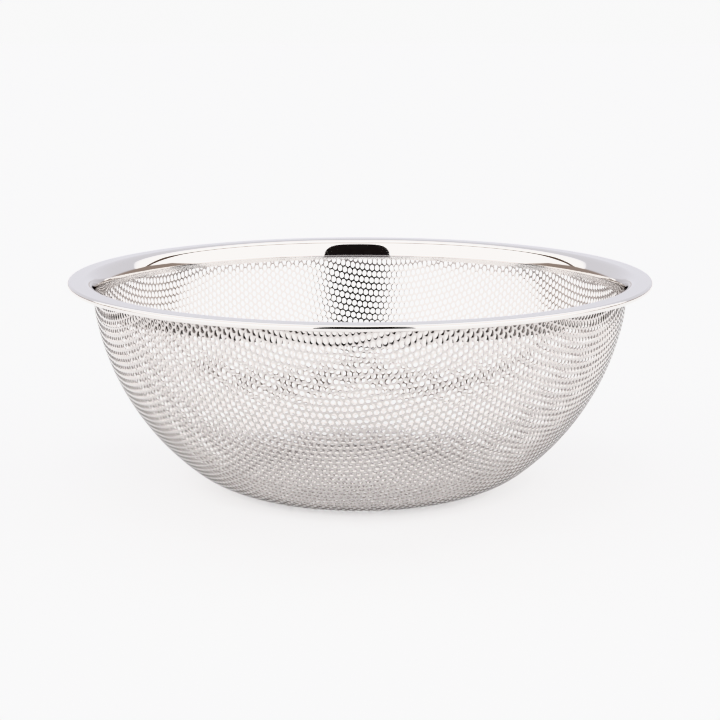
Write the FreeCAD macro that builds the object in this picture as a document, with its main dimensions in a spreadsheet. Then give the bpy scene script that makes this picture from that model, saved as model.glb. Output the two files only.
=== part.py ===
import FreeCAD
import Part
import math
import os

import Sketcher

# A stainless strainer bowl: a drawn sheet with a flat flange, gripped by a rim ring wrapped around it.
# Each piece is a meridian line thickened to its own sheet and turned about Z. The bowl lies outside its
# line and the ring inside its own, and the two lines are one along the flange, where the sheets touch.
# Below it the ring's skirt stands a little way off the bowl's neck. The punched holes aren't cut here.
# The origin is at the middle of the floor, on the surface that the bowl stands on.

doc = FreeCAD.newDocument("strainer_bowl")

# Millimetres and degrees.
sizes = {
    "rim_diameter": 265.0,      # over the rolled edge
    "total_height": 96.0,       # underside of the floor to the top of the flange
    "bowl_sheet": 0.5,          # thickness of the drawn bowl
    "ring_sheet": 0.4,          # thickness of the rim ring
    "neck_radius": 120.3,       # inside of the bowl's straight neck
    "skirt_gap": 0.4,           # between the neck and the ring's skirt
    "skirt_depth": 10.3,        # top of the flange to the lower edge of the ring
    "neck_length": 1.0,         # upright stretch at the foot of the skirt
    "flare_radius": 13.6,       # neck opening out towards the flange
    "bend_radius": 4.0,         # flare into the flat flange
    "shoulder_radius": 31.5,    # neck into the side
    "shoulder_turn": 9.8,       # angle that the shoulder turns through
    "side_radius": 114.5,       # long arc of the side
    "corner_radius": 45.0,      # side into the flat floor
    "curl_diameter": 2.8,       # rolled edge of the ring
    "curl_turn": 249.0,         # angle that the edge is rolled through
}
sheet = doc.addObject("Spreadsheet::Sheet", "sizes")
for row, (alias, value) in enumerate(sizes.items(), start=1):
    sheet.set(f"A{row}", alias)
    sheet.set(f"B{row}", str(value))
    sheet.setAlias(f"B{row}", alias)
doc.recompute()

axis_z = FreeCAD.Vector(0, 0, 1)
start_end, end_end = 1, 2       # the two ends of a sketch's line or arc
centre_point = 3
origin_index, point_index = -1, 1
no_gap, one_gap = 0, 1          # how many gaps a piece's neck stands inside the bowl's


def vector(x, y):
    return FreeCAD.Vector(x, y, 0)


def around(centre, radius, degrees):
    turn = math.radians(degrees)
    return vector(centre.x + radius * math.cos(turn), centre.y + radius * math.sin(turn))


def arc(centre, radius, first, last):
    circle = Part.Circle(centre, axis_z, radius)
    return Part.ArcOfCircle(circle, math.radians(first), math.radians(last))


def meridian_sketch(name):
    """A sketch in the XZ plane, so that sketch x is the radius and sketch y is the height."""
    sketch = doc.addObject("Sketcher::SketchObject", name)
    sketch.Placement = FreeCAD.Placement(FreeCAD.Vector(), FreeCAD.Rotation(FreeCAD.Vector(1, 0, 0), 90))
    return sketch


def join(sketch, first, first_end, second, second_end):
    """Meet end to end, in one smooth line."""
    sketch.addConstraint(Sketcher.Constraint("Tangent", first, first_end, second, second_end))


def bind(sketch, kind, places, value, expression):
    """Add one dimension and tie it to the sheet."""
    index = sketch.addConstraint(Sketcher.Constraint(kind, *places, value))
    sketch.renameConstraint(index, f"{kind.lower()}_{index}")
    sketch.setExpression(f"Constraints[{index}]", expression)


def neck_pieces(gaps):
    """The neck, flare, bend and flange lines, from the foot of the skirt outwards.

    The bowl's stand no gap inside the neck and the ring's one. The flares share their centre."""
    neck_radius = sizes["neck_radius"] - gaps * sizes["skirt_gap"]
    flare_radius = sizes["flare_radius"] + gaps * sizes["skirt_gap"]
    bend_radius = sizes["bend_radius"]
    foot = vector(neck_radius, sizes["total_height"] - sizes["skirt_depth"])
    flare = vector(neck_radius + flare_radius, foot.y + sizes["neck_length"])
    bend_height = sizes["total_height"] - sizes["ring_sheet"] - bend_radius
    switch = 180 - math.degrees(math.asin((bend_height - flare.y) / (flare_radius - bend_radius)))
    bend = around(flare, flare_radius - bend_radius, switch)
    flange = around(bend, bend_radius, 90)
    edge = vector((sizes["rim_diameter"] - sizes["curl_diameter"]) / 2, flange.y)
    return [
        Part.LineSegment(foot, vector(foot.x, flare.y)),
        arc(flare, flare_radius, switch, 180),
        arc(bend, bend_radius, 90, switch),
        Part.LineSegment(flange, edge),
    ]


def tie_neck(sketch, gaps, neck, flare, bend, flange):
    """Tie the upright neck, flare, bend and flange, which both pieces have, to the sheet."""
    join(sketch, neck, end_end, flare, end_end)
    join(sketch, flare, start_end, bend, end_end)
    join(sketch, bend, start_end, flange, start_end)
    sketch.addConstraint(Sketcher.Constraint("Vertical", neck))
    sketch.addConstraint(Sketcher.Constraint("Horizontal", flange))
    lower = [origin_index, point_index, neck, start_end]
    upper = [origin_index, point_index, neck, end_end]
    edge = [origin_index, point_index, flange, end_end]
    foot = sizes["total_height"] - sizes["skirt_depth"]
    flange_height = sizes["total_height"] - sizes["ring_sheet"]
    reach = (sizes["rim_diameter"] - sizes["curl_diameter"]) / 2
    neck_radius = sizes["neck_radius"] - gaps * sizes["skirt_gap"]
    flare_radius = sizes["flare_radius"] + gaps * sizes["skirt_gap"]
    bind(sketch, "DistanceX", lower, neck_radius, f"sizes.neck_radius - {gaps} * sizes.skirt_gap")
    bind(sketch, "DistanceY", lower, foot, "sizes.total_height - sizes.skirt_depth")
    bind(sketch, "DistanceY", upper, foot + sizes["neck_length"],
         "sizes.total_height - sizes.skirt_depth + sizes.neck_length")
    bind(sketch, "Radius", [flare], flare_radius, f"sizes.flare_radius + {gaps} * sizes.skirt_gap")
    bind(sketch, "Radius", [bend], sizes["bend_radius"], "sizes.bend_radius")
    bind(sketch, "DistanceY", edge, flange_height, "sizes.total_height - sizes.ring_sheet")
    bind(sketch, "DistanceX", edge, reach, "(sizes.rim_diameter - sizes.curl_diameter) / 2")


def bowl_meridian():
    """The bowl's inner face: floor, corner, side, shoulder, neck, flare, bend and flange."""
    sketch = meridian_sketch("bowl_meridian")
    turn = sizes["shoulder_turn"]
    foot = vector(sizes["neck_radius"], sizes["total_height"] - sizes["skirt_depth"])
    shoulder = vector(foot.x - sizes["shoulder_radius"], foot.y)
    side = around(shoulder, sizes["side_radius"] - sizes["shoulder_radius"], 180 - turn)
    corner_height = sizes["bowl_sheet"] + sizes["corner_radius"]
    drop = (side.y - corner_height) / (sizes["side_radius"] - sizes["corner_radius"])
    switch = 360 - math.degrees(math.asin(drop))
    corner = around(side, sizes["side_radius"] - sizes["corner_radius"], switch)

    sketch.addGeometry(Part.LineSegment(vector(0, sizes["bowl_sheet"]), vector(corner.x, sizes["bowl_sheet"])))
    sketch.addGeometry(arc(corner, sizes["corner_radius"], 270, switch))
    sketch.addGeometry(arc(side, sizes["side_radius"], switch, 360 - turn))
    sketch.addGeometry(arc(shoulder, sizes["shoulder_radius"], 360 - turn, 360))
    for piece in neck_pieces(no_gap):
        sketch.addGeometry(piece)
    floor_line, corner_arc, side_arc, shoulder_arc, neck, flare, bend, flange = range(8)

    join(sketch, floor_line, end_end, corner_arc, start_end)
    join(sketch, corner_arc, end_end, side_arc, start_end)
    join(sketch, side_arc, end_end, shoulder_arc, start_end)
    join(sketch, shoulder_arc, end_end, neck, start_end)
    tie_neck(sketch, no_gap, neck, flare, bend, flange)
    sketch.addConstraint(Sketcher.Constraint("Horizontal", floor_line))
    middle = [origin_index, point_index, floor_line, start_end]
    bind(sketch, "DistanceX", middle, 0.0, "0")
    bind(sketch, "DistanceY", middle, sizes["bowl_sheet"], "sizes.bowl_sheet")
    bind(sketch, "Radius", [corner_arc], sizes["corner_radius"], "sizes.corner_radius")
    bind(sketch, "Radius", [side_arc], sizes["side_radius"], "sizes.side_radius")
    bind(sketch, "Radius", [shoulder_arc], sizes["shoulder_radius"], "sizes.shoulder_radius")
    rise = sizes["shoulder_radius"] * math.sin(math.radians(turn))
    bind(sketch, "DistanceY", [shoulder_arc, start_end, shoulder_arc, centre_point], rise,
         "sizes.shoulder_radius * sin(sizes.shoulder_turn * 1 deg)")
    return sketch


def ring_meridian():
    """The ring's hidden face: skirt, flare, bend, flange and the curl that grips the bowl's flange."""
    sketch = meridian_sketch("ring_meridian")
    for piece in neck_pieces(one_gap):
        sketch.addGeometry(piece)
    neck, flare, bend, flange, curl = range(5)
    radius = sizes["curl_diameter"] / 2 - sizes["ring_sheet"]
    reach = (sizes["rim_diameter"] - sizes["curl_diameter"]) / 2
    centre = vector(reach, sizes["total_height"] - sizes["curl_diameter"] / 2)
    sketch.addGeometry(arc(centre, radius, 90 - sizes["curl_turn"], 90))
    tie_neck(sketch, one_gap, neck, flare, bend, flange)
    join(sketch, flange, end_end, curl, end_end)
    bind(sketch, "Radius", [curl], radius, "sizes.curl_diameter / 2 - sizes.ring_sheet")
    lip = radius * math.sin(math.radians(sizes["curl_turn"] - 90))
    bind(sketch, "DistanceY", [curl, centre_point, curl, start_end], -lip,
         "(sizes.curl_diameter / 2 - sizes.ring_sheet) * sin((90 - sizes.curl_turn) * 1 deg)")
    return sketch


def turned_sheet(label, meridian, thickness):
    """Thicken the meridian to one side and turn it about Z."""
    band = doc.addObject("Part::Offset2D", label + "_section")
    band.Source = meridian
    band.Mode = "Skin"
    band.Fill = True
    band.setExpression("Value", thickness)
    piece = doc.addObject("Part::Revolution", label)
    piece.Source = band
    piece.Axis = axis_z
    piece.Angle = 360
    piece.Solid = True
    piece.Label = label
    piece.Placement = FreeCAD.Placement()
    return piece


sub_parts = [
    turned_sheet("perforated_bowl", bowl_meridian(), "-sizes.bowl_sheet"),
    turned_sheet("rim_ring", ring_meridian(), "sizes.ring_sheet"),
]
doc.recompute()

for item in doc.Objects:
    if "Invalid" in item.State or "Error" in item.State:
        raise SystemExit(f"{item.Label} failed to build: {item.State}")
os.makedirs("parts", exist_ok=True)
for piece in sub_parts:
    if piece.Shape.isNull() or not piece.Shape.isValid():
        raise SystemExit(f"{piece.Label} has no valid shape")
    piece.Shape.exportStep(f"parts/{piece.Label}.step")
    box = piece.Shape.optimalBoundingBox()
    print(f"{piece.Label}: {piece.Shape.Volume:.0f} mm3, across {box.XLength:.1f}, "
          f"from {box.ZMin:.2f} to {box.ZMax:.2f} mm")
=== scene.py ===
import math

import bpy
import numpy as np
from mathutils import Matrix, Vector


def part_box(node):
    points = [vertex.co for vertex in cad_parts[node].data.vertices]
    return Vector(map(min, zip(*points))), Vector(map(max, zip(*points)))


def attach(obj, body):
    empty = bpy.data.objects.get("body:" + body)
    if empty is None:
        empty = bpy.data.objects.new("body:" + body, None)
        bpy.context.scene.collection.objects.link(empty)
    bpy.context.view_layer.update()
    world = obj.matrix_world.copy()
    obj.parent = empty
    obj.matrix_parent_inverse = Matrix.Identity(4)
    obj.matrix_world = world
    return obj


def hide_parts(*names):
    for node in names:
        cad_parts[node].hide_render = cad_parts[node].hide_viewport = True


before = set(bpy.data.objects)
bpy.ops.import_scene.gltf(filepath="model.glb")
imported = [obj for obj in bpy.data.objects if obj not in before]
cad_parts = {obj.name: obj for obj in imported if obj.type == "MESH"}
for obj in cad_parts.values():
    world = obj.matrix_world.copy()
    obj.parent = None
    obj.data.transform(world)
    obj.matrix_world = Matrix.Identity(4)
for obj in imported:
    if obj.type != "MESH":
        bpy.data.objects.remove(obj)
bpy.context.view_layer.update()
mm = 0.001

# The meridian of the two sheets, in mm and degrees.
# The bowl lies outside its line and the ring inside its own.
meridian = {
    "neckRadius": 120.3,
    "skirtGap": 0.4,          # the ring's skirt stands this far inside the bowl's neck
    "skirtDepth": 10.3,       # flange top to the foot of the ring's skirt
    "neckLength": 1.0,
    "flareRadius": 13.6,
    "bendRadius": 4.0,
    "shoulderRadius": 31.5,
    "shoulderTurn": 9.8,
    "sideRadius": 114.5,
    "cornerRadius": 45.0,
    "bowlSheet": 0.5,
    "ringSheet": 0.4,
    "curlDiameter": 2.8,
}
rimLow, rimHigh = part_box("rim_ring")
meridian["rimRadius"] = round((rimHigh[0] - rimLow[0]) / 2 / mm, 1)
meridian["height"] = round(rimHigh[2] / mm, 2)


def toLinear(hexColour):
    channels = [int(hexColour[i:i + 2], 16) / 255 for i in (1, 3, 5)]
    return [c / 12.92 if c <= 0.04045 else ((c + 0.055) / 1.055) ** 2.4 for c in channels] + [1.0]


def addNode(tree, kind, settings=None, links=None):
    # settings go to sockets by name or number, or to the node's own options
    node = tree.nodes.new(kind)
    for key, value in (settings or {}).items():
        if isinstance(key, str) and hasattr(node, key):
            setattr(node, key, value)
        else:
            node.inputs[key].default_value = value
    for key, source in (links or {}).items():
        tree.links.new(source, node.inputs[key])
    return node


def newMaterial(name):
    material = bpy.data.materials.new(name)
    material.use_nodes = True
    material.node_tree.nodes.clear()
    return material, material.node_tree


def insideArcs(m):
    # the bowl's inner face from the middle of the floor to the foot of the neck
    floorZ = m["bowlSheet"]
    footZ = m["height"] - m["skirtDepth"]
    turn = math.radians(m["shoulderTurn"])
    shoulder = (m["neckRadius"] - m["shoulderRadius"], footZ)
    reach = m["sideRadius"] - m["shoulderRadius"]
    side = (shoulder[0] - reach * math.cos(turn), shoulder[1] + reach * math.sin(turn))
    reach = m["sideRadius"] - m["cornerRadius"]
    down = math.asin((side[1] - floorZ - m["cornerRadius"]) / reach)
    corner = (side[0] + reach * math.cos(down), floorZ + m["cornerRadius"])
    return [
        ("line", (0, floorZ), (corner[0], floorZ)),
        ("arc", corner, m["cornerRadius"], -math.pi / 2, -down),
        ("arc", side, m["sideRadius"], -down, -turn),
        ("arc", shoulder, m["shoulderRadius"], -turn, 0),
    ]


def neckArcs(m, gap):
    # neck, flare, bend and flange: gap is 0 for the bowl's inner face
    # and skirtGap for the ring's hidden one
    footZ = m["height"] - m["skirtDepth"]
    flareZ = footZ + m["neckLength"]
    flareRadius = m["flareRadius"] + gap
    flare = (m["neckRadius"] + m["flareRadius"], flareZ)
    flangeZ = m["height"] - m["ringSheet"]
    reach = flareRadius - m["bendRadius"]
    opened = math.pi - math.asin((flangeZ - m["bendRadius"] - flareZ) / reach)
    bend = (flare[0] + reach * math.cos(opened), flangeZ - m["bendRadius"])
    edge = m["rimRadius"] - m["curlDiameter"] / 2
    return [
        ("line", (m["neckRadius"] - gap, footZ), (m["neckRadius"] - gap, flareZ)),
        ("arc", flare, flareRadius, math.pi, opened),
        ("arc", bend, m["bendRadius"], opened, math.pi / 2),
        ("line", (bend[0], flangeZ), (edge, flangeZ)),
    ]


def walkArcs(arcs, step):
    # points along the arcs with the normal that faces out of the bowl, all in mm
    rows = []
    for kind, first, *rest in arcs:
        if kind == "line":
            second = rest[0]
            length = math.dist(first, second)
            along = ((second[0] - first[0]) / length, (second[1] - first[1]) / length)
            count = max(2, math.ceil(length / step) + 1)
            for k in range(count):
                t = length * k / (count - 1)
                rows.append((first[0] + along[0] * t, first[1] + along[1] * t, along[1], -along[0]))
        else:
            radius, start, end = rest
            count = max(3, math.ceil(abs(end - start) * radius / step) + 1)
            outward = 1 if end > start else -1      # the neck's arcs turn the other way
            for k in range(count):
                a = start + (end - start) * k / (count - 1)
                rows.append((first[0] + radius * math.cos(a), first[1] + radius * math.sin(a),
                             outward * math.cos(a), outward * math.sin(a)))
    return np.array(rows)


brightSheet = {
    "colour": "#BBB7B5",
    "worn": "#B4AFAD",
    "roughness": 0.12,
    "grainMm": 1.6,          # slow mottling left by drawing the sheet over the punch
    "scratchMm": 0.35,       # real polishing marks are 0.02 mm; drawn coarse so that they show
}
polishedRim = {
    "colour": "#D8D5D3",
    "roughness": 0.035,
    "scratchMm": 0.25,       # buffing lines round the rim, drawn coarse so that they show
}


def stainlessSheet(look):
    # 18-8 stainless, drawn from bright rolled sheet: soft wide reflections that wander a little
    material, tree = newMaterial("drawnStainlessSheet")
    place = addNode(tree, "ShaderNodeTexCoord").outputs["Object"]
    mottle = addNode(tree, "ShaderNodeTexNoise",
                     {"Scale": 1 / (look["grainMm"] * mm * 4), "Detail": 3.0, "Roughness": 0.6},
                     {"Vector": place})
    rough = addNode(tree, "ShaderNodeMapRange",
                    {"From Min": 0.3, "From Max": 0.7, "To Min": look["roughness"] * 0.8,
                     "To Max": look["roughness"] * 1.25},
                    {"Value": mottle.outputs["Fac"]})
    marks = addNode(tree, "ShaderNodeTexNoise",
                    {"Scale": 1 / (look["scratchMm"] * mm), "Detail": 2.0}, {"Vector": place})
    dents = addNode(tree, "ShaderNodeBump", {"Strength": 0.12, "Distance": 0.02 * mm},
                    {"Height": marks.outputs["Fac"]})
    tint = addNode(tree, "ShaderNodeMix",
                   {"data_type": "RGBA", 6: toLinear(look["colour"]), 7: toLinear(look["worn"])},
                   {0: mottle.outputs["Fac"]})
    shader = addNode(tree, "ShaderNodeBsdfPrincipled", {"Metallic": 1.0},
                     {"Base Color": tint.outputs[2], "Roughness": rough.outputs["Result"],
                      "Normal": dents.outputs["Normal"]})
    addNode(tree, "ShaderNodeOutputMaterial", links={"Surface": shader.outputs["BSDF"]})
    return material


def stainlessRim(look):
    # the same steel buffed on a wheel while it turned: near-mirror, with faint lines round the rim
    material, tree = newMaterial("buffedStainlessRim")
    place = addNode(tree, "ShaderNodeTexCoord").outputs["Object"]
    apart = addNode(tree, "ShaderNodeSeparateXYZ", links={0: place})
    across = addNode(tree, "ShaderNodeVectorMath", {"operation": "LENGTH"},
                     {0: addNode(tree, "ShaderNodeVectorMath",
                                 {"operation": "MULTIPLY", 1: (1, 1, 0)}, {0: place}).outputs[0]})
    turnAngle = addNode(tree, "ShaderNodeMath", {"operation": "ARCTAN2"},
                        {0: apart.outputs["Y"], 1: apart.outputs["X"]})
    slow = addNode(tree, "ShaderNodeMath", {"operation": "MULTIPLY", 1: 0.004},
                   {0: turnAngle.outputs[0]})
    lines = addNode(tree, "ShaderNodeCombineXYZ",
                    links={0: across.outputs["Value"], 1: slow.outputs[0], 2: apart.outputs["Z"]})
    marks = addNode(tree, "ShaderNodeTexNoise",
                    {"Scale": 1 / (look["scratchMm"] * mm), "Detail": 3.0, "Roughness": 0.65},
                    {"Vector": lines.outputs[0]})
    rough = addNode(tree, "ShaderNodeMapRange",
                    {"From Min": 0.3, "From Max": 0.7, "To Min": look["roughness"] * 0.7,
                     "To Max": look["roughness"] * 1.5},
                    {"Value": marks.outputs["Fac"]})
    dents = addNode(tree, "ShaderNodeBump", {"Strength": 0.05, "Distance": 0.01 * mm},
                    {"Height": marks.outputs["Fac"]})
    shader = addNode(tree, "ShaderNodeBsdfPrincipled",
                     {"Metallic": 1.0, "Base Color": toLinear(look["colour"])},
                     {"Roughness": rough.outputs["Result"], "Normal": dents.outputs["Normal"]})
    addNode(tree, "ShaderNodeOutputMaterial", links={"Surface": shader.outputs["BSDF"]})
    return material


sheetFinish = stainlessSheet(brightSheet)
rimFinish = stainlessRim(polishedRim)
print("finishes ready")


punching = {
    "pitch": 3.25,           # hole to hole in the flat blank, mm
    "holeDiameter": 2.45,
    "rowTurn": -6.02,        # degrees from +X to a row of holes
    "shift": (-1.41, 0.26),  # where a hole sits beside the middle, mm
    # how much the area has grown, by height in mm
    "stretch": {0.5: 1.0, 0.51: 1.186, 14: 1.186, 30: 0.984, 60: 0.977, 88: 0.93},
    "sideSteps": 3,          # points on each side of a hole's six-sided cell
    "roundWide": 0.10,       # the polished edge of a hole, on both faces, mm
    "roundDeep": 0.02,
    "sectors": 12,           # the sheet is cut into this many meshes
    "seamTurn": 23.0,
    "walkStep": 0.25,        # along the meridian, mm
    "edgeLand": 0.3,         # least steel between a hole and the blank's edge, mm
}


def blankTable(p):
    # a ring of the blank becomes a ring of the bowl, whose area has grown by the stretch at its height
    rows = walkArcs(insideArcs(meridian) + neckArcs(meridian, 0), p["walkStep"])
    steps = np.hypot(np.diff(rows[:, 0]), np.diff(rows[:, 1]))
    middle = (rows[1:, 0] + rows[:-1, 0]) / 2
    height = (rows[1:, 1] + rows[:-1, 1]) / 2
    drawn = np.interp(height, list(p["stretch"]), list(p["stretch"].values()))
    blank = np.sqrt(2 * np.concatenate([[0], np.cumsum(middle * steps / drawn)]))
    keep = np.concatenate([[True], np.diff(blank) > 1e-9])
    return blank[keep], rows[keep]


def punchedBowl(p):
    blank, rows = blankTable(p)
    blankEdge = blank[-1]
    pitch, holeRadius = p["pitch"], p["holeDiameter"] / 2
    turn = math.radians(p["rowTurn"])
    alongRow = pitch * np.array([math.cos(turn), math.sin(turn)])
    nextRow = pitch * np.array([math.cos(turn + math.pi / 3), math.sin(turn + math.pi / 3)])
    reach = math.ceil(blankEdge / pitch / math.cos(math.pi / 6)) + 2
    i, j = np.meshgrid(np.arange(-reach, reach + 1), np.arange(-reach, reach + 1))
    centres = np.array(p["shift"]) + i.reshape(-1, 1) * alongRow + j.reshape(-1, 1) * nextRow
    away = np.hypot(centres[:, 0], centres[:, 1])
    centres, away = centres[away < blankEdge + pitch * 0.45], away[away < blankEdge + pitch * 0.45]
    punched = away + holeRadius < blankEdge - p["edgeLand"]

    steps = p["sideSteps"]
    corners = turn + math.pi / 6 + np.arange(7) * math.pi / 3
    hexagon = pitch / math.sqrt(3) * np.stack([np.cos(corners), np.sin(corners)], 1)
    share = (np.arange(steps) / steps).reshape(-1, 1)
    border = np.concatenate([hexagon[k] * (1 - share) + hexagon[k + 1] * share for k in range(6)])
    bearing = np.arctan2(border[:, 1], border[:, 0])
    circle = np.stack([np.cos(bearing), np.sin(bearing)], 1)
    count = 6 * steps

    def onBowl(flat):
        # flat blank to the bowl: the point where the sheets touch and the normal facing out
        radius = np.minimum(np.hypot(flat[:, 0], flat[:, 1]), blankEdge)
        turned = np.arctan2(flat[:, 1], flat[:, 0])
        r, z, nr, nz = (np.interp(radius, blank, rows[:, k]) for k in range(4))
        size = np.hypot(nr, nz)
        point = np.stack([r * np.cos(turned), r * np.sin(turned), z], 1)
        normal = np.stack([nr * np.cos(turned), nr * np.sin(turned), nz], 1) / size[:, None]
        return point, normal

    sector = ((np.degrees(np.arctan2(centres[:, 1], centres[:, 0])) - p["seamTurn"]) % 360
              // (360 / p["sectors"])).astype(int)
    faces = 0
    for k in range(p["sectors"]):
        mine = sector == k
        open_, solid = centres[mine & punched], centres[mine & ~punched]
        cells = np.concatenate([open_, solid])
        outline = (cells[:, None, :] + border[None]).reshape(-1, 2)
        shared, where = np.unique(np.round(outline * 1e4).astype(np.int64), axis=0, return_inverse=True)
        outline = shared / 1e4
        where = where.reshape(len(cells), count)
        rings = [(open_[:, None, :] + radius * circle[None]).reshape(-1, 2)
                 for radius in (holeRadius + p["roundWide"], holeRadius)]
        flat = np.concatenate([outline] + rings)
        inner, normal = onBowl(flat)
        total, edge, rim = len(flat), len(outline), len(outline) + len(rings[0])
        lift = np.zeros((total, 1))
        lift[rim:] = p["roundDeep"]
        sheet = meridian["bowlSheet"]
        points = np.concatenate([inner + normal * lift, inner + normal * (sheet - lift)]) * mm

        around = [where[:len(open_)]] + [start + np.arange(len(open_) * count).reshape(-1, count)
                                         for start in (edge, rim)]
        quads = []
        for wide, narrow in zip(around, around[1:]):
            wide2, narrow2 = np.roll(wide, -1, 1), np.roll(narrow, -1, 1)
            quads.append(np.stack([wide, wide2, narrow2, narrow], 2).reshape(-1, 4))
            quads.append(np.stack([narrow, narrow2, wide2, wide], 2).reshape(-1, 4) + total)
        hole, hole2 = around[2], np.roll(around[2], -1, 1)
        quads.append(np.stack([hole, hole2, hole2 + total, hole + total], 2).reshape(-1, 4))
        quads = np.concatenate(quads).tolist()
        plugs = where[len(open_):]
        quads += plugs.tolist() + (plugs[:, ::-1] + total).tolist()

        mesh = bpy.data.meshes.new(f"bowlSheet_{k + 1}")
        mesh.from_pydata(points.tolist(), [], quads)
        mesh.update()
        mesh.shade_smooth()
        kind = np.zeros(2 * total, int)
        kind[rim:total] = 1
        kind[total + rim:] = 2
        ends = np.empty(2 * len(mesh.edges), int)
        mesh.edges.foreach_get("vertices", ends)
        ends = kind[ends.reshape(-1, 2)]
        sharp = (ends[:, 0] > 0) & (ends[:, 0] == ends[:, 1])
        mark = mesh.attributes.new("sharp_edge", "BOOLEAN", "EDGE")
        mark.data.foreach_set("value", sharp)
        mesh.materials.append(sheetFinish)
        piece = bpy.data.objects.new(f"bowlSheet_{k + 1}", mesh)
        bpy.context.scene.collection.objects.link(piece)
        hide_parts("perforated_bowl")
        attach(piece, "root")
        faces += len(quads)
    print(f"punched bowl: {int(punched.sum())} holes, {faces} faces, blank {2 * blankEdge:.0f} mm")


punchedBowl(punching)


ringMesh = {
    "aroundSteps": 576,
    "step": 0.35,            # along the section, mm
    "curlTurn": 249.0,
    "curlSteps": 30,
}


def rimRing(m, look):
    hidden = walkArcs(neckArcs(m, m["skirtGap"]), look["step"])
    edge = m["rimRadius"] - m["curlDiameter"] / 2
    centreZ = m["height"] - m["curlDiameter"] / 2
    roll = m["curlDiameter"] / 2 - m["ringSheet"]
    curl = []
    for k in range(1, look["curlSteps"] + 1):
        a = math.radians(90 - look["curlTurn"] * k / look["curlSteps"])
        curl.append((edge + roll * math.cos(a), centreZ + roll * math.sin(a),
                     -math.cos(a), -math.sin(a)))
    hidden = np.concatenate([hidden, curl])
    keep = np.concatenate([[True], np.hypot(np.diff(hidden[:, 0]), np.diff(hidden[:, 1])) > 1e-6])
    hidden = hidden[keep]
    shown = hidden[:, :2] - hidden[:, 2:] * m["ringSheet"]
    section = np.concatenate([hidden[:, :2], shown[::-1]])
    rows = len(section)
    count = look["aroundSteps"]
    turns = np.arange(count) * 2 * math.pi / count
    points = np.stack([np.outer(np.cos(turns), section[:, 0]), np.outer(np.sin(turns), section[:, 0]),
                       np.tile(section[:, 1], (count, 1))], 2).reshape(-1, 3) * mm
    row, turn = np.meshgrid(np.arange(rows), np.arange(count))
    nextRow, nextTurn = (row + 1) % rows, (turn + 1) % count
    quads = np.stack([turn * rows + row, turn * rows + nextRow,
                      nextTurn * rows + nextRow, nextTurn * rows + row], 2).reshape(-1, 4)
    mesh = bpy.data.meshes.new("rimRing")
    mesh.from_pydata(points.tolist(), [], quads.tolist())
    mesh.update()
    mesh.shade_smooth()
    half = len(hidden)
    corners = np.isin(np.arange(rows), (0, half - 1, half, rows - 1))
    ends = np.empty(2 * len(mesh.edges), int)
    mesh.edges.foreach_get("vertices", ends)
    ends = ends.reshape(-1, 2) % rows
    sharp = (ends[:, 0] == ends[:, 1]) & corners[ends[:, 0]]
    mesh.attributes.new("sharp_edge", "BOOLEAN", "EDGE").data.foreach_set("value", sharp)
    mesh.materials.append(rimFinish)
    ring = bpy.data.objects.new("rimRing", mesh)
    bpy.context.scene.collection.objects.link(ring)
    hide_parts("rim_ring")
    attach(ring, "root")
    print(f"rim ring: {len(quads)} faces")


rimRing(meridian, ringMesh)


studio = {
    "floorRadius": 12.0,     # m
    "floorColour": "#F3F3F3",
    "backdropLevel": 1.62,   # what is seen past the edge of the floor
    "wallLevel": 2.6,        # the bright cloth in front of the bowl and over it
    "clothTop": 55.5,        # degrees over from the front horizon to the edge of the cloth
    "clothBend": 0.6,        # how far the cloth comes round to the sides
    "gapTop": 68.0,          # a dim gap past the cloth
    "gapColour": "#4A403A",
    "lampTop": 100.0,        # a lamp past the gap
    "lampFade": 14.0,
    "ceiling": "#EFEFF6",
    "ceilingLevel": 1.1,
    # degrees up to the foot of the cloth: start, first and last turn from the front, rise
    "footRises": ((-4.0, 72.0, 98.0, 17.0), (0.0, 115.0, 150.0, -11.0)),
    "footColour": "#746A64",
    "footSoft": 0.03,        # radians
    "figureColour": "#2C2B2B",
    "figureAway": 0.62,      # m, a dark figure that stands in front of the bowl
    "figureAside": 0.018,
    "figureWide": 0.374,
    "figureTall": 0.98,
}


def stagePlate(name, points, faces, material):
    mesh = bpy.data.meshes.new(name)
    mesh.from_pydata(points, [], faces)
    mesh.materials.append(material)
    plate = bpy.data.objects.new(name, mesh)
    bpy.context.scene.collection.objects.link(plate)
    return plate


def paleFloor(look):
    material, tree = newMaterial("paleFloor")
    shader = addNode(tree, "ShaderNodeBsdfPrincipled",
                     {"Base Color": toLinear(look["floorColour"]), "Roughness": 0.9,
                      "Specular IOR Level": 0.1})
    addNode(tree, "ShaderNodeOutputMaterial", links={"Surface": shader.outputs["BSDF"]})
    turns = [2 * math.pi * k / 96 for k in range(96)]
    edge = [(look["floorRadius"] * math.cos(a), look["floorRadius"] * math.sin(a), 0) for a in turns]
    stagePlate("floor", edge, [list(range(96))], material)


def darkFigure(look):
    # seen only in the steel: the black streaks on the neck, the side and the rolled edge
    material, tree = newMaterial("blackCloth")
    shader = addNode(tree, "ShaderNodeBsdfPrincipled",
                     {"Base Color": toLinear(look["figureColour"]), "Roughness": 0.9,
                      "Specular IOR Level": 0.1})
    addNode(tree, "ShaderNodeOutputMaterial", links={"Surface": shader.outputs["BSDF"]})
    outline = []
    for k in range(65):
        a = math.pi * k / 64
        x, z = (math.copysign(abs(c) ** 0.5, c) for c in (math.cos(a), math.sin(a)))
        outline.append((look["figureAside"] + look["figureWide"] / 2 * x, -look["figureAway"],
                        look["figureTall"] * z))
    figure = stagePlate("darkFigure", outline, [list(range(65))], material)
    figure.visible_camera = False
    figure.visible_diffuse = False
    figure.visible_shadow = False


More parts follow.
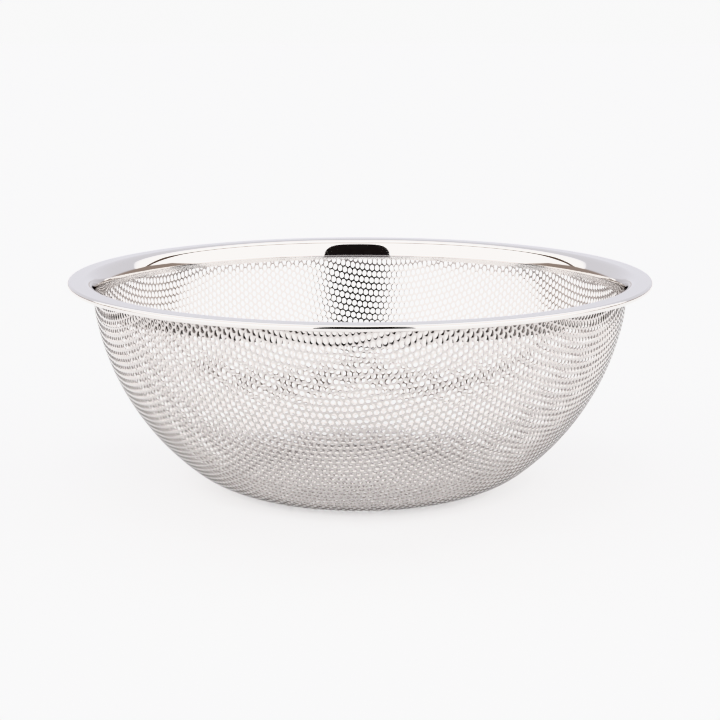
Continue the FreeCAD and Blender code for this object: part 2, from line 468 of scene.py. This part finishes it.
def softStudio(look):
    # bright cloth in front and overhead, a thin gap, a lamp, a soft ceiling behind,
    # and dim room low at the sides
    world = bpy.data.worlds.new("softStudio")
    bpy.context.scene.world = world
    world.use_nodes = True
    tree = world.node_tree
    tree.nodes.clear()
    way = addNode(tree, "ShaderNodeTexCoord").outputs["Generated"]
    parts = addNode(tree, "ShaderNodeSeparateXYZ", links={0: way})
    toFront = addNode(tree, "ShaderNodeMath", {"operation": "MULTIPLY", 1: -1.0},
                      {0: parts.outputs["Y"]}).outputs[0]

    white = toLinear("#FFFFFF")
    share = look["ceilingLevel"] / look["wallLevel"]
    ceiling = [c * share for c in toLinear(look["ceiling"])[:3]] + [1.0]
    gap, foot = toLinear(look["gapColour"]), toLinear(look["footColour"])
    sideways = addNode(tree, "ShaderNodeMath", {"operation": "ABSOLUTE"}, {0: parts.outputs["X"]})
    bent = addNode(tree, "ShaderNodeMath", {"operation": "MULTIPLY_ADD", 1: look["clothBend"]},
                   {0: sideways.outputs[0], 2: toFront})
    angles = []
    for across, along in ((parts.outputs["Z"], bent.outputs[0]), (parts.outputs["X"], toFront)):
        turned = addNode(tree, "ShaderNodeMath", {"operation": "ARCTAN2"}, {0: across, 1: along})
        plain = addNode(tree, "ShaderNodeMath", {"operation": "ABSOLUTE"}, {0: turned.outputs[0]})
        angles.append(plain.outputs[0])
    over, aside = angles

    # colours by the angle over from the front horizon to the back one, in degrees
    stops = [(0, white), (look["clothTop"] - 1, white), (look["clothTop"] + 1, gap),
             (look["gapTop"] - 1, gap), (look["gapTop"] + 1, white),
             (look["lampTop"], white), (look["lampTop"] + look["lampFade"], ceiling)]
    halfTurns = addNode(tree, "ShaderNodeMath", {"operation": "DIVIDE", 1: math.pi}, {0: over})
    ramp = addNode(tree, "ShaderNodeValToRGB", links={"Fac": halfTurns.outputs[0]})
    for degrees, _ in stops[2:]:
        ramp.color_ramp.elements.new(degrees / 180)
    for stop, (degrees, colour) in zip(ramp.color_ramp.elements, stops):
        stop.position = degrees / 180
        stop.color = colour

    # the foot of the cloth, which rises towards the sides and comes down again at the back
    rises = [addNode(tree, "ShaderNodeMapRange",
                     {"From Min": math.radians(first), "From Max": math.radians(last),
                      "To Min": math.radians(start), "To Max": math.radians(start + rise)},
                     {"Value": aside}).outputs["Result"]
             for start, first, last, rise in look["footRises"]]
    edge = addNode(tree, "ShaderNodeMath", {"operation": "ADD"}, {0: rises[0], 1: rises[1]})
    height = addNode(tree, "ShaderNodeMath", {"operation": "ARCSINE"}, {0: parts.outputs["Z"]})
    above = addNode(tree, "ShaderNodeMath", {"operation": "SUBTRACT"},
                    {0: height.outputs[0], 1: edge.outputs[0]})
    bright = addNode(tree, "ShaderNodeMapRange",
                     {"interpolation_type": "SMOOTHSTEP", "From Min": -look["footSoft"],
                      "From Max": look["footSoft"]}, {"Value": above.outputs[0]})
    tint = addNode(tree, "ShaderNodeMix", {"data_type": "RGBA", 6: foot},
                   {0: bright.outputs["Result"], 7: ramp.outputs["Color"]})

    seen = addNode(tree, "ShaderNodeLightPath")
    glow = addNode(tree, "ShaderNodeBackground", {"Strength": look["wallLevel"]},
                   {"Color": tint.outputs[2]})
    backdrop = addNode(tree, "ShaderNodeBackground",
                       {"Color": white, "Strength": look["backdropLevel"]})
    both = addNode(tree, "ShaderNodeMixShader",
                   links={0: seen.outputs["Is Camera Ray"], 1: glow.outputs[0], 2: backdrop.outputs[0]})
    addNode(tree, "ShaderNodeOutputWorld", links={"Surface": both.outputs[0]})


view = {
    "distance": 0.7738,      # m, from the bowl's axis
    "height": 0.21286,
    "pitch": 11.48,          # degrees down
    "lens": 85.3,
}


def frontCamera(look):
    data = bpy.data.cameras.new("frontCamera")
    data.lens = look["lens"]
    data.sensor_width = 36
    data.clip_start = 0.01
    camera = bpy.data.objects.new("frontCamera", data)
    camera.location = (0, -look["distance"], look["height"])
    camera.rotation_euler = (math.radians(90 - look["pitch"]), 0, 0)
    bpy.context.scene.collection.objects.link(camera)
    bpy.context.scene.camera = camera


paleFloor(studio)
darkFigure(studio)
softStudio(studio)
frontCamera(view)
# this view rolls the bright floor off softly
bpy.context.scene.view_settings.view_transform = "Khronos PBR Neutral"
print("studio ready")
